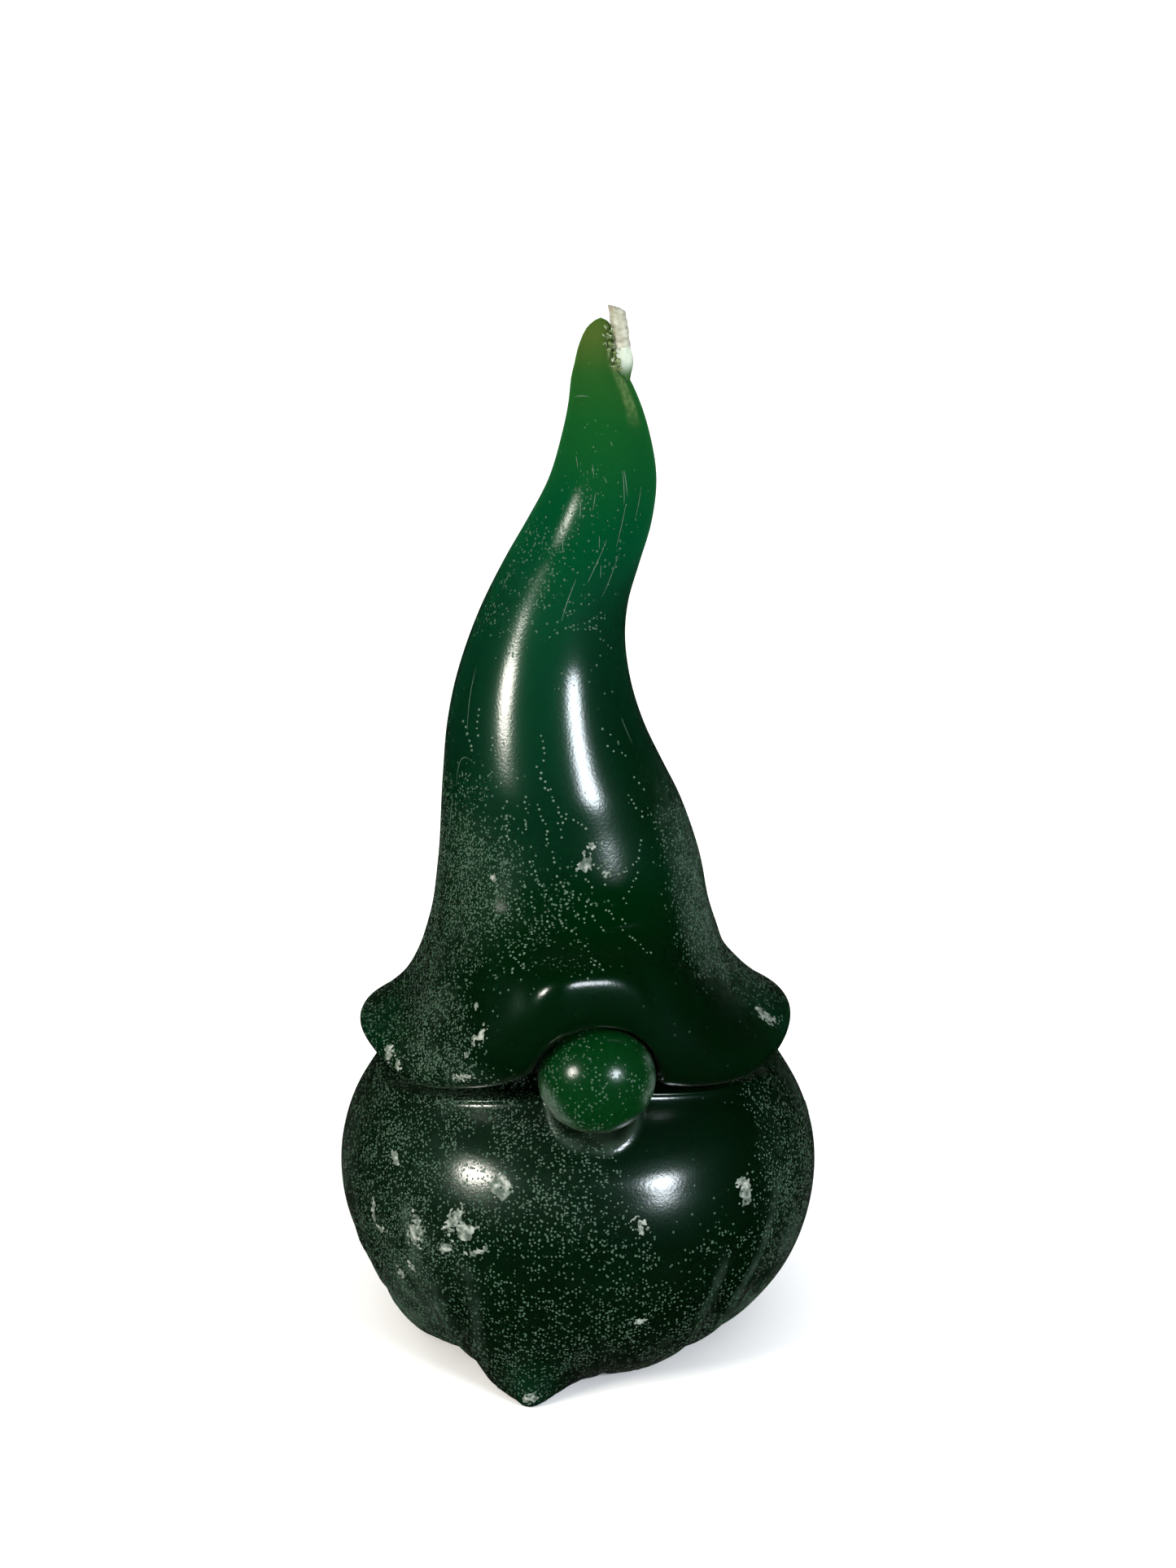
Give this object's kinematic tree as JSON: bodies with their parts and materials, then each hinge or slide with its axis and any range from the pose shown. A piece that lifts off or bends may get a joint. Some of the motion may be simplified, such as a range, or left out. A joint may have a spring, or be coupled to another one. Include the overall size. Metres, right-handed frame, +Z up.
{
  "type": "gnome figurine candle",
  "caption": "Moulded wax candle shaped as a Nordic gnome: round beard, brimmed hat with a tall bent tip, ball nose and a through wick.",
  "frame": {"origin": "centre of the candle's outline on the surface it stands on", "axes": "+Z up, from the base to the wick; the nose faces -Y; +X is the candle's left hand, the right side seen from the front"},
  "size_m": [0.061, 0.061, 0.1304],
  "materials": {
    "body_wax": "satin, with pale bloom",
    "nose_wax": "satin, translucent",
    "wick_cotton": "braided, matte"
  },
  "bodies": {
    "root": {"wax_body": "body_wax", "nose": "nose_wax", "wick": "wick_cotton"}
  },
  "joints": []
}
